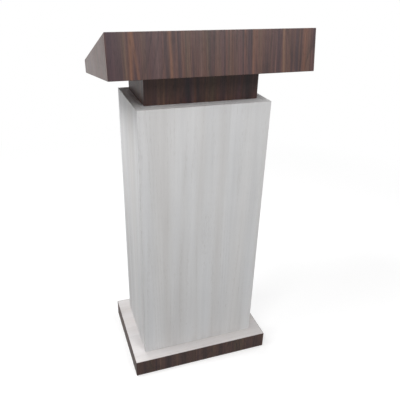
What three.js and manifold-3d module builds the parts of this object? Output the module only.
// Presentation lectern: laminated boards on a low plinth, a hollow column that is a lockable
// cupboard on the speaker's side, a recessed hollow neck, and a tilted desk box whose reading
// board lies inside a raised rim.
//
// Millimetres, +Z up. Front is the audience side (-Y), rear the speaker's side (+Y), left is -X.
// Origin: on the floor, under the centre of the overall bounding box.
import * as THREE from "three";
import { mergeVertices } from "three/addons/utils/BufferGeometryUtils.js";
import Module from "manifold-3d";

const wasm = await Module();
wasm.setup();
const { Manifold, Mesh: SolidMesh } = wasm;

// ---------------------------------------------------------------- driving dimensions
const THICK = 18; // thickness of the structural boards

const COLUMN = { halfX: 213, front: -165, rear: 115, top: 991 };

const PLINTH_MARGIN = 45; // how far the plinth stands out around the column
const PLINTH = {
  halfX: COLUMN.halfX + PLINTH_MARGIN,
  front: COLUMN.front - PLINTH_MARGIN,
  rear: COLUMN.rear + PLINTH_MARGIN,
  bottom: 3, // ground clearance given by the glides
  railHeight: 45,
  edging: 1, // thickness of the walnut edging strips
};
const RAIL_TOP = PLINTH.bottom + PLINTH.railHeight;
const PLINTH_TOP = RAIL_TOP + THICK;

// inside of the cupboard
const INNER_X = COLUMN.halfX - THICK;
const INNER_FRONT = COLUMN.front + THICK;
const DOOR_GAP = 2;
const DOOR_INNER_Y = COLUMN.rear - THICK;
const DOOR_Z = [PLINTH_TOP + THICK + DOOR_GAP, COLUMN.top - THICK - DOOR_GAP];

const NECK = { halfX: 182, front: -124, rear: 88 };

// The desk has its own tilted frame: y runs from its front edge to its rear, z square to its base.
const DESK = {
  halfX: 300,
  tilt: THREE.MathUtils.degToRad(9),
  y: -241.4, // world place of the lower front edge
  z: 1094,
  depth: 482,
  frontHeight: 118,
  rearHeight: 43,
};
const RIM_SLOPE = (DESK.frontHeight - DESK.rearHeight) / DESK.depth;
const RIM_ANGLE = Math.atan(RIM_SLOPE);

// rectangular cable opening in the column top and the desk bottom, centred in the neck
const CABLE_WAY = { halfX: 50, halfY: 30, y: (NECK.front + NECK.rear) / 2 };

const SIDES = [
  ["left", -1],
  ["right", 1],
];

// ---------------------------------------------------------------- materials
const material = (options) => new THREE.MeshStandardMaterial(options);
const WALNUT = material({ color: 0x64524e, roughness: 0.42, metalness: 0 });
const ASH = material({ color: 0xc6c5c4, roughness: 0.5, metalness: 0 });
const RAW_WOOD = material({ color: 0xb7986c, roughness: 0.8, metalness: 0 });
const STEEL = material({ color: 0xa9abad, roughness: 0.32, metalness: 1 });
const CHROME = material({ color: 0xd2d4d6, roughness: 0.12, metalness: 1 });
const PLASTIC = material({ color: 0x2a2827, roughness: 0.55, metalness: 0 });

// ---------------------------------------------------------------- ranges, [low, high]
const span = (a, b) => [Math.min(a, b), Math.max(a, b)];
const around = (centre, half) => [centre - half, centre + half];
// a range measured outwards from the middle plane, on side -1 (left) or 1 (right)
const onSide = (side, a, b) => span(side * a, side * b);
// lengthened at both ends, so that a cutter passes clean through
const through = ([low, high]) => [low - 5, high + 5];

// ---------------------------------------------------------------- shapes
function solid(geometry) {
  const bare = geometry.index ? geometry.toNonIndexed() : geometry.clone();
  bare.deleteAttribute("normal");
  bare.deleteAttribute("uv");
  const merged = mergeVertices(bare, 1e-4);
  return new Manifold(
    new SolidMesh({
      numProp: 3,
      vertProperties: new Float32Array(merged.attributes.position.array),
      triVerts: new Uint32Array(merged.index.array),
    }),
  );
}

function geometryOf(shape) {
  const { numVert, numProp, vertProperties, triVerts } = shape.getMesh();
  const positions = new Float32Array(numVert * 3);
  for (let i = 0; i < numVert; i++) {
    positions.set(vertProperties.subarray(i * numProp, i * numProp + 3), i * 3);
  }
  const geometry = new THREE.BufferGeometry();
  geometry.setAttribute("position", new THREE.BufferAttribute(positions, 3));
  geometry.setIndex(new THREE.BufferAttribute(new Uint32Array(triVerts), 1));
  geometry.computeVertexNormals();
  return geometry;
}

function box([x0, x1], [y0, y1], [z0, z1]) {
  const geometry = new THREE.BoxGeometry(x1 - x0, y1 - y0, z1 - z0);
  return solid(geometry.translate((x0 + x1) / 2, (y0 + y1) / 2, (z0 + z1) / 2));
}

// a round bar along one axis; centre holds its other two coordinates, in x, y, z order
function rod(axis, radius, [start, end], centre, segments = 24) {
  const geometry = new THREE.CylinderGeometry(radius, radius, end - start, segments);
  const [first, second] = centre;
  const middle = (start + end) / 2;
  if (axis === "x") geometry.rotateZ(-Math.PI / 2).translate(middle, first, second);
  if (axis === "y") geometry.translate(first, middle, second);
  if (axis === "z") geometry.rotateX(Math.PI / 2).translate(first, second, middle);
  return solid(geometry);
}

// a board standing on a level base, its top edge following topAt(y)
function slopedBoard([x0, x1], [y0, y1], base, topAt) {
  const corners = [
    [y0, base],
    [y1, base],
    [y1, topAt(y1)],
    [y0, topAt(y0)],
  ];
  const shape = new THREE.Shape(corners.map(([y, z]) => new THREE.Vector2(y, z)));
  const geometry = new THREE.ExtrudeGeometry(shape, { depth: x1 - x0, bevelEnabled: false });
  const shapeToWorld = new THREE.Matrix4().makeBasis(
    new THREE.Vector3(0, 1, 0),
    new THREE.Vector3(0, 0, 1),
    new THREE.Vector3(1, 0, 0),
  );
  return geometry.applyMatrix4(shapeToWorld).translate(x0, 0, 0);
}

// a piece turned about +Y; the profile is [radius, height] pairs and starts and ends on the
// axis, or closes on itself
function turned(profile, segments = 24) {
  const points = profile.map(([radius, height]) => new THREE.Vector2(radius, height));
  return new THREE.LatheGeometry(points, segments);
}

// the same, turned about +Z
const turnedZ = (profile, segments) => turned(profile, segments).rotateX(Math.PI / 2);

function addPiece(parent, name, shape, surface) {
  const geometry = shape.isBufferGeometry ? shape : geometryOf(shape);
  const mesh = new THREE.Mesh(geometry, surface);
  mesh.name = name;
  parent.add(mesh);
  return mesh;
}

// ---------------------------------------------------------------- plinth
const CORE_X = PLINTH.halfX - PLINTH.edging;
const CORE_Y = [PLINTH.front + PLINTH.edging, PLINTH.rear - PLINTH.edging];
const RAIL_Z = [PLINTH.bottom, RAIL_TOP];
const BLOCK_SIZE = 40;

// [radius, height above the floor]: foot, then the stem that goes into the block
const GLIDE_PROFILE = [
  [0, 0],
  [11.5, 0],
  [13, 0.5],
  [13.5, 1.4],
  [13.5, PLINTH.bottom],
  [2, PLINTH.bottom],
  [2, 22],
  [0.6, 24.5],
  [0, 24.5],
];

function addRails(plinth) {
  const [front, rear] = CORE_Y;
  const fullX = around(0, CORE_X);
  addPiece(plinth, "plinth_top_board", box(fullX, CORE_Y, [RAIL_TOP, PLINTH_TOP]), ASH);
  addPiece(plinth, "plinth_rail_front", box(fullX, [front, front + THICK], RAIL_Z), RAW_WOOD);
  addPiece(plinth, "plinth_rail_rear", box(fullX, [rear - THICK, rear], RAIL_Z), RAW_WOOD);
  for (const [where, side] of SIDES) {
    const railX = onSide(side, CORE_X - THICK, CORE_X);
    const rail = box(railX, [front + THICK, rear - THICK], RAIL_Z);
    addPiece(plinth, `plinth_rail_${where}`, rail, RAW_WOOD);
  }
}

function addEdging(plinth) {
  const fullX = around(0, PLINTH.halfX);
  const edgeZ = [PLINTH.bottom, PLINTH_TOP];
  const [front, rear] = CORE_Y;
  addPiece(plinth, "plinth_edging_front", box(fullX, [PLINTH.front, front], edgeZ), WALNUT);
  addPiece(plinth, "plinth_edging_rear", box(fullX, [rear, PLINTH.rear], edgeZ), WALNUT);
  for (const [where, side] of SIDES) {
    const strip = box(onSide(side, CORE_X, PLINTH.halfX), CORE_Y, edgeZ);
    addPiece(plinth, `plinth_edging_${where}`, strip, WALNUT);
  }
}

// corner blocks stiffen the frame and take the nylon glides that it stands on
function addCorners(plinth) {
  const inset = THICK + BLOCK_SIZE / 2;
  const rows = [
    ["front", CORE_Y[0] + inset],
    ["rear", CORE_Y[1] - inset],
  ];
  for (const [row, y] of rows) {
    for (const [where, side] of SIDES) {
      const x = side * (CORE_X - inset);
      const block = box(around(x, BLOCK_SIZE / 2), around(y, BLOCK_SIZE / 2), RAIL_Z);
      const stemHole = rod("z", 2.4, [0, 26], [x, y]);
      addPiece(plinth, `corner_block_${row}_${where}`, block.subtract(stemHole), RAW_WOOD);
      const glide = addPiece(plinth, `glide_${row}_${where}`, turnedZ(GLIDE_PROFILE), PLASTIC);
      glide.position.set(x, y, 0);
    }
  }
}

// ---------------------------------------------------------------- column carcass
const SHELF = { z: 520, rear: 80, sideGap: 2, frontGap: 1 };
const PIN_RADIUS = 2.5;
const PIN_REST_RADIUS = 3; // the part that the shelf lies on
const PIN_Z = SHELF.z - PIN_REST_RADIUS - 0.02;
const PIN_ROWS = [
  ["front", -100],
  ["rear", 40],
];

// [radius, distance from the panel face into the cupboard]
const PIN_PROFILE = [
  [0, -8],
  [PIN_RADIUS - 0.4, -8],
  [PIN_RADIUS, -7.4],
  [PIN_RADIUS, 0.2],
  [4, 0.2],
  [4, 1.6],
  [PIN_REST_RADIUS, 1.6],
  [PIN_REST_RADIUS, 9.4],
  [2.4, 10],
  [0, 10],
];

function addCarcass(column) {
  const columnZ = [PLINTH_TOP, COLUMN.top];
  const depthY = [INNER_FRONT, COLUMN.rear];
  const frontPanel = box(around(0, COLUMN.halfX), [COLUMN.front, INNER_FRONT], columnZ);
  addPiece(column, "column_front_panel", frontPanel, ASH);

  for (const [where, side] of SIDES) {
    let panel = box(onSide(side, INNER_X, COLUMN.halfX), depthY, columnZ);
    const holeX = onSide(side, INNER_X - 0.5, INNER_X + 9);
    for (const [, y] of PIN_ROWS) {
      panel = panel.subtract(rod("x", PIN_RADIUS + 0.3, holeX, [y, PIN_Z], 16));
    }
    addPiece(column, `column_${where}_panel`, panel, ASH);
  }

  const innerX = around(0, INNER_X);
  const topZ = [COLUMN.top - THICK, COLUMN.top];
  const opening = box(
    around(0, CABLE_WAY.halfX),
    around(CABLE_WAY.y, CABLE_WAY.halfY),
    through(topZ),
  );
  addPiece(column, "column_top_board", box(innerX, depthY, topZ).subtract(opening), ASH);
  const bottomBoard = box(innerX, depthY, [PLINTH_TOP, PLINTH_TOP + THICK]);
  addPiece(column, "column_bottom_board", bottomBoard, ASH);
}

function addShelf(column) {
  const shelf = box(
    around(0, INNER_X - SHELF.sideGap),
    [INNER_FRONT + SHELF.frontGap, SHELF.rear],
    [SHELF.z, SHELF.z + THICK],
  );
  addPiece(column, "cupboard_shelf", shelf, ASH);
  for (const [where, side] of SIDES) {
    for (const [row, y] of PIN_ROWS) {
      // turns the profile's +Y into the cupboard
      const geometry = turned(PIN_PROFILE, 16).rotateZ((side * Math.PI) / 2);
      const pin = addPiece(column, `shelf_pin_${where}_${row}`, geometry, STEEL);
      pin.position.set(side * INNER_X, y, PIN_Z);
    }
  }
}

// ---------------------------------------------------------------- cupboard door and handle
const LOCK = { x: -168, z: 700 };
const HANDLE = { x: LOCK.x, lowerZ: 520, upperZ: 648, reach: 30, bend: 9, radius: 5 };
const HANDLE_ENDS = [
  ["lower", HANDLE.lowerZ],
  ["upper", HANDLE.upperZ],
];
const SCREW_HEAD = 2.4; // height of the head

// [radius, distance from the outer face of the head]
const SCREW_PROFILE = [
  [0, 0],
  [3.2, 0],
  [4.2, 0.9],
  [4.2, SCREW_HEAD],
  [2, SCREW_HEAD],
  [2, 28.4],
  [1.4, 29],
  [0, 29],
];

function addDoorLeaf(door) {
  const doorY = [DOOR_INNER_Y, COLUMN.rear];
  let leaf = box(around(0, INNER_X - DOOR_GAP), doorY, DOOR_Z);
  leaf = leaf.subtract(rod("y", 8.5, through(doorY), [LOCK.x, LOCK.z], 32));
  for (const [, z] of HANDLE_ENDS) {
    leaf = leaf.subtract(rod("y", 2.5, through(doorY), [HANDLE.x, z], 16));
  }
  addPiece(door, "cupboard_door", leaf, ASH);
}

// centre line of the handle, from its lower end to its upper end
function handlePath() {
  const { lowerZ, upperZ, reach, bend } = HANDLE;
  const point = (y, z) => new THREE.Vector3(HANDLE.x, COLUMN.rear + y, z);
  const lowerBend = [point(reach - bend, lowerZ), point(reach, lowerZ), point(reach, lowerZ + bend)];
  const upperBend = [point(reach, upperZ - bend), point(reach, upperZ), point(reach - bend, upperZ)];
  const path = new THREE.CurvePath();
  path.add(new THREE.LineCurve3(point(0, lowerZ), lowerBend[0]));
  path.add(new THREE.QuadraticBezierCurve3(...lowerBend));
  path.add(new THREE.LineCurve3(lowerBend[2], upperBend[0]));
  path.add(new THREE.QuadraticBezierCurve3(...upperBend));
  path.add(new THREE.LineCurve3(upperBend[2], point(0, upperZ)));
  return path;
}

// bent bar handle with bored ends, held by screws from inside the cupboard
function addHandle(door) {
  const section = new THREE.Shape();
  section.absarc(0, 0, HANDLE.radius, 0, Math.PI * 2);
  const sweep = new THREE.ExtrudeGeometry(section, {
    steps: 56,
    curveSegments: 10,
    bevelEnabled: false,
    extrudePath: handlePath(),
  });
  // keeps only what stands outside the door face
  const outside = box(
    [-COLUMN.halfX, 0],
    [COLUMN.rear, COLUMN.rear + 2 * HANDLE.reach],
    [PLINTH_TOP, COLUMN.top],
  );
  let bar = solid(sweep).intersect(outside);
  for (const [, z] of HANDLE_ENDS) {
    bar = bar.subtract(rod("y", 2.4, [COLUMN.rear - 5, COLUMN.rear + 10], [HANDLE.x, z], 16));
  }
  addPiece(door, "door_handle", bar, STEEL);
  for (const [where, z] of HANDLE_ENDS) {
    const screw = addPiece(door, `handle_screw_${where}`, turned(SCREW_PROFILE, 16), STEEL);
    screw.position.set(HANDLE.x, DOOR_INNER_Y - SCREW_HEAD, z);
  }
}

// ---------------------------------------------------------------- surface hinges of the door
const HINGE = {
  x: INNER_X - DOOR_GAP / 2, // over the middle of the door gap
  y: COLUMN.rear + 4,
  height: 64,
  endDistance: 104, // from the end of the door to the middle of the hinge
  plate: 2, // thickness
  plateStart: 4, // from the hinge axis to the near edge of a plate
  knuckleRadius: 3.5,
  knuckleGap: 0.2, // taken off each knuckle where it meets the next
  screwRise: 22, // screw holes above and below the middle
};

// [radius, distance beyond the end of the leaves]: one end of the pin
const HINGE_PIN_END = [
  [1.72, 0.3],
  [2.8, 0.3],
  [2.8, 1.4],
  [1.8, 2.6],
  [0, 3],
];

// side points from the hinge axis to the plate; plateEnd and screw are distances from the axis
function hingeLeaf({ side, plateEnd, screw, knuckles, middleZ }) {
  const face = COLUMN.rear;
  const leafZ = around(middleZ, HINGE.height / 2);
  const beside = (a, b) => span(HINGE.x + side * a, HINGE.x + side * b);
  const plateY = [face, face + HINGE.plate];
  let leaf = box(beside(HINGE.plateStart, plateEnd), plateY, leafZ);
  for (const knuckleZ of knuckles) {
    const web = box(beside(0.5, 5), [face + 0.5, face + HINGE.plate], knuckleZ);
    leaf = leaf.add(rod("z", HINGE.knuckleRadius, knuckleZ, [HINGE.x, HINGE.y])).add(web);
  }
  leaf = leaf.subtract(rod("z", 1.8, through(leafZ), [HINGE.x, HINGE.y]));
  for (const z of around(middleZ, HINGE.screwRise)) {
    leaf = leaf.subtract(rod("y", 1.9, through(plateY), [HINGE.x + side * screw, z], 16));
  }
  return leaf;
}

function addHinge(column, door, where, middleZ) {
  const half = HINGE.height / 2;
  const third = HINGE.height / 3;
  const [bottom, top] = around(middleZ, half);
  const frameLeaf = hingeLeaf({
    side: 1,
    plateEnd: COLUMN.halfX - 1.5 - HINGE.x,
    screw: 10.5,
    knuckles: [
      [bottom, bottom + third - HINGE.knuckleGap],
      [top - third + HINGE.knuckleGap, top],
    ],
    middleZ,
  });
  addPiece(column, `hinge_${where}_frame_leaf`, frameLeaf, STEEL);
  const doorLeaf = hingeLeaf({
    side: -1,
    plateEnd: 19.5,
    screw: 11,
    knuckles: [[bottom + third + HINGE.knuckleGap, top - third - HINGE.knuckleGap]],
    middleZ,
  });
  addPiece(door, `hinge_${where}_door_leaf`, doorLeaf, STEEL);

  const lowerEnd = HINGE_PIN_END.map(([radius, beyond]) => [radius, -half - beyond]).reverse();
  const upperEnd = HINGE_PIN_END.map(([radius, beyond]) => [radius, half + beyond]);
  const pin = addPiece(column, `hinge_${where}_pin`, turnedZ([...lowerEnd, ...upperEnd]), STEEL);
  pin.position.set(HINGE.x, HINGE.y, middleZ);
}

// ---------------------------------------------------------------- cam lock
const KEY_THICK = 2;
const PLUG_BACK = -27; // rear end of the plug, from the speaker's face of the door

// [radius, distance out from the speaker's face of the door], for housing and plug
const HOUSING_PROFILE = [
  [6.1, -25],
  [8, -25],
  [8, 0],
  [10.5, 0],
  [10.5, 1],
  [9.3, 2.2],
  [6.1, 2.2],
  [6.1, -25],
];
const PLUG_PROFILE = [
  [0, PLUG_BACK],
  [6, PLUG_BACK],
  [6, 1.6],
  [5.4, 2.2],
  [0, 2.2],
];

const CAM = { hubRadius: 8, tipRadius: 6, tipDrop: 18, thick: 2, plugGap: 0.3 };
const STRIKE = { front: 62, rear: 90.5, halfHeight: 14, thick: 2, lip: 14, screwY: 71, screwRise: 7 };

const atLock = (geometry) => geometry.translate(LOCK.x, COLUMN.rear, LOCK.z);

// flanged sleeve through the door, and the hexagonal nut that clamps it
function addLockHousing(door) {
  addPiece(door, "lock_housing", atLock(turned(HOUSING_PROFILE, 32)), CHROME);
  const centre = [LOCK.x, LOCK.z];
  const nutY = [DOOR_INNER_Y - 4, DOOR_INNER_Y];
  const nut = rod("y", 12.2, nutY, centre, 6).subtract(rod("y", 8.3, through(nutY), centre, 32));
  addPiece(door, "lock_nut", nut, STEEL);
}

// plug that the key turns, with its keyway
function addLockPlug(door) {
  const keyway = box(
    around(LOCK.x, 1.4),
    [COLUMN.rear - 14, COLUMN.rear + 5],
    around(LOCK.z, 3.7),
  );
  const plug = solid(atLock(turned(PLUG_PROFILE, 32))).subtract(keyway);
  addPiece(door, "lock_plug", plug, CHROME);
}

// tongue, hanging down when unlocked; it turns towards the side panel to lock
function addLockCam(door) {
  const { hubRadius, tipRadius, tipDrop } = CAM;
  const outline = new THREE.Shape();
  outline.absarc(0, 0, hubRadius, 0, Math.PI, false);
  outline.lineTo(-tipRadius, -tipDrop - 1);
  outline.absarc(0, -tipDrop, tipRadius, Math.PI, Math.PI * 2, false);
  outline.lineTo(hubRadius, 0);
  const cam = new THREE.ExtrudeGeometry(outline, {
    depth: CAM.thick,
    bevelEnabled: false,
    curveSegments: 10,
  });
  cam.rotateX(Math.PI / 2); // outline upright, thickness along -Y
  cam.translate(0, PLUG_BACK - CAM.plugGap, 0);
  addPiece(door, "lock_cam", atLock(cam), STEEL);
}

// key left in the lock: flat blade and a round bow with a hole
function addLockKey(door) {
  const face = COLUMN.rear;
  const keyX = around(LOCK.x, KEY_THICK / 2);
  const blade = box(keyX, [face - 12, face + 9], around(LOCK.z, 3.2));
  const bow = rod("x", 11, keyX, [face + 17, LOCK.z], 32);
  const hole = rod("x", 3, through(keyX), [face + 22, LOCK.z], 20);
  addPiece(door, "lock_key", blade.add(bow).subtract(hole), CHROME);
}

// angle strike on the left side panel, which the tongue passes behind
function addLockStrike(column) {
  const { front, rear, thick } = STRIKE;
  const plateX = [-INNER_X, -INNER_X + thick];
  const strikeZ = around(LOCK.z, STRIKE.halfHeight);
  const lip = box([-INNER_X, -INNER_X + STRIKE.lip], [rear - thick, rear], strikeZ);
  let strike = box(plateX, [front, rear], strikeZ).add(lip);
  for (const z of around(LOCK.z, STRIKE.screwRise)) {
    strike = strike.subtract(rod("x", 2.1, through(plateX), [STRIKE.screwY, z], 16));
  }
  addPiece(column, "lock_strike", strike, STEEL);
}

// ---------------------------------------------------------------- neck
const NECK_DESK_GAP = 0.3; // between the neck and the underside of the desk
const NECK_CLEAT = { size: 22, endGap: 6 };

function addNeck(neck) {
  const { halfX, front, rear } = NECK;
  const topAt = (y) => DESK.z - (y - DESK.y) * Math.tan(DESK.tilt) - NECK_DESK_GAP;
  const panel = (rangeX, rangeY) => slopedBoard(rangeX, rangeY, COLUMN.top, topAt);
  const fullX = around(0, halfX);
  const innerY = [front + THICK, rear - THICK];
  addPiece(neck, "neck_front_panel", panel(fullX, [front, innerY[0]]), WALNUT);
  addPiece(neck, "neck_rear_panel", panel(fullX, [innerY[1], rear]), WALNUT);
  const innerX = halfX - THICK;
  for (const [where, side] of SIDES) {
    addPiece(neck, `neck_${where}_panel`, panel(onSide(side, innerX, halfX), innerY), WALNUT);
  }
  const { size, endGap } = NECK_CLEAT;
  for (const [where, side] of SIDES) {
    const cleat = box(
      onSide(side, innerX - size, innerX),
      [innerY[0] + endGap, innerY[1] - endGap],
      [COLUMN.top, COLUMN.top + size],
    );
    addPiece(neck, `neck_cleat_${where}`, cleat, RAW_WOOD);
  }
}

// ---------------------------------------------------------------- desk box
const GLUE = 0.2; // joint line between boards of the tilted box
const DESK_INNER_X = DESK.halfX - THICK;

function addDeskBox(desk) {
  const { halfX, depth } = DESK;
  const rimAt = (y) => DESK.frontHeight - RIM_SLOPE * y;
  const panel = (rangeX, rangeY) => slopedBoard(rangeX, rangeY, 0, rimAt);
  const fullX = around(0, halfX);
  const innerY = [THICK + GLUE, depth - THICK - GLUE];
  addPiece(desk, "desk_front_panel", panel(fullX, [0, THICK]), WALNUT);
  addPiece(desk, "desk_rear_rail", panel(fullX, [depth - THICK, depth]), WALNUT);
  for (const [where, side] of SIDES) {
    addPiece(desk, `desk_${where}_panel`, panel(onSide(side, DESK_INNER_X, halfX), innerY), WALNUT);
  }
  const bottomZ = [0, THICK];
  const openingY = (CABLE_WAY.y - DESK.y) / Math.cos(DESK.tilt);
  const opening = box(
    around(0, CABLE_WAY.halfX),
    around(openingY, CABLE_WAY.halfY),
    through(bottomZ),
  );
  const bottom = box(around(0, DESK_INNER_X - GLUE), innerY, bottomZ).subtract(opening);
  addPiece(desk, "desk_bottom_panel", bottom, WALNUT);
}

// ---------------------------------------------------------------- reading board and grommet
// Drawn in a frame that follows the rim: y down the slope, z square to it, 0 at the rim line.
const RIM_RISE = 10; // how far the rim stands above the reading board
const READING_Z = [-RIM_RISE - 12, -RIM_RISE];
const READING_HALF_X = DESK_INNER_X - 0.4;
const WALL_ON_SLOPE = THICK / Math.cos(RIM_ANGLE); // wall thickness measured down the slope
const READING_Y = [
  WALL_ON_SLOPE + 4.2,
  DESK.depth / Math.cos(RIM_ANGLE) - WALL_ON_SLOPE - 4,
];
const BOARD_CLEAT = { size: 18, sideY: [44, 372], boardGap: 0.3 };
const GROMMET = { x: 205, y: 78, radius: 30 };
const NOTCH = { radius: 7, y: GROMMET.radius - 13 };

// [radius, height above the reading board]
const SLEEVE_PROFILE = [
  [GROMMET.radius - 2.5, -15],
  [GROMMET.radius, -15],
  [GROMMET.radius, -2.5],
  [GROMMET.radius + 5, -2.5],
  [GROMMET.radius + 5, -0.9],
  [GROMMET.radius + 4, -0.1],
  [GROMMET.radius - 1, -0.1],
  [GROMMET.radius - 1, -3],
  [GROMMET.radius - 2.5, -3],
  [GROMMET.radius - 2.5, -15],
];
const CAP_PROFILE = [
  [0, -2.7],
  [GROMMET.radius - 1.4, -2.7],
  [GROMMET.radius - 1.4, -0.7],
  [GROMMET.radius - 2, -0.1],
  [0, -0.1],
];

function addReadingBoard(rimFrame) {
  const centre = [GROMMET.x, GROMMET.y];
  const recessZ = [-RIM_RISE - 2.8, 10];
  const board = box(around(0, READING_HALF_X), READING_Y, READING_Z)
    .subtract(rod("z", GROMMET.radius + 0.5, through(READING_Z), centre, 40))
    .subtract(rod("z", GROMMET.radius + 5.5, recessZ, centre, 40));
  addPiece(rimFrame, "reading_board", board, WALNUT);
}

// cleats that the reading board is screwed to
function addBoardCleats(rimFrame) {
  const { size, sideY, boardGap } = BOARD_CLEAT;
  const top = READING_Z[0] - boardGap;
  const cleatZ = [top - size, top];
  for (const [where, side] of SIDES) {
    const cleat = box(onSide(side, READING_HALF_X - size, READING_HALF_X), sideY, cleatZ);
    addPiece(rimFrame, `board_cleat_${where}`, cleat, RAW_WOOD);
  }
  const frontY = READING_Y[0] + 3;
  const frontCleat = box(around(0, DESK_INNER_X - 30), [frontY, frontY + size], cleatZ);
  addPiece(rimFrame, "board_cleat_front", frontCleat, RAW_WOOD);
}

// cable grommet: flush sleeve and a turning cap with a cable notch
function addGrommet(rimFrame) {
  const place = [GROMMET.x, GROMMET.y, -RIM_RISE];
  const sleeve = turnedZ(SLEEVE_PROFILE, 40);
  addPiece(rimFrame, "cable_grommet_sleeve", sleeve, PLASTIC).position.set(...place);
  const notchZ = [-6, 3];
  const cap = solid(turnedZ(CAP_PROFILE, 40))
    .subtract(box(around(0, NOTCH.radius), [NOTCH.y, GROMMET.radius + 5], notchZ))
    .subtract(rod("z", NOTCH.radius, notchZ, [0, NOTCH.y]));
  addPiece(rimFrame, "cable_grommet_cap", cap, PLASTIC).position.set(...place);
}

// ---------------------------------------------------------------- assembly
const lectern = new THREE.Group();
const plinth = new THREE.Group();
const column = new THREE.Group();
const door = new THREE.Group();
const neck = new THREE.Group();
const desk = new THREE.Group();
lectern.add(plinth, column, door, neck, desk);

addRails(plinth);
addEdging(plinth);
addCorners(plinth);

addCarcass(column);
addShelf(column);

addDoorLeaf(door);
addHandle(door);
addHinge(column, door, "lower", DOOR_Z[0] + HINGE.endDistance);
addHinge(column, door, "upper", DOOR_Z[1] - HINGE.endDistance);
addLockHousing(door);
addLockPlug(door);
addLockCam(door);
addLockKey(door);
addLockStrike(column);

addNeck(neck);

desk.position.set(0, DESK.y, DESK.z);
desk.rotation.x = -DESK.tilt;
addDeskBox(desk);

const rimFrame = new THREE.Group();
rimFrame.position.set(0, 0, DESK.frontHeight);
rimFrame.rotation.x = -RIM_ANGLE;
desk.add(rimFrame);
addReadingBoard(rimFrame);
addBoardCleats(rimFrame);
addGrommet(rimFrame);

export default lectern;
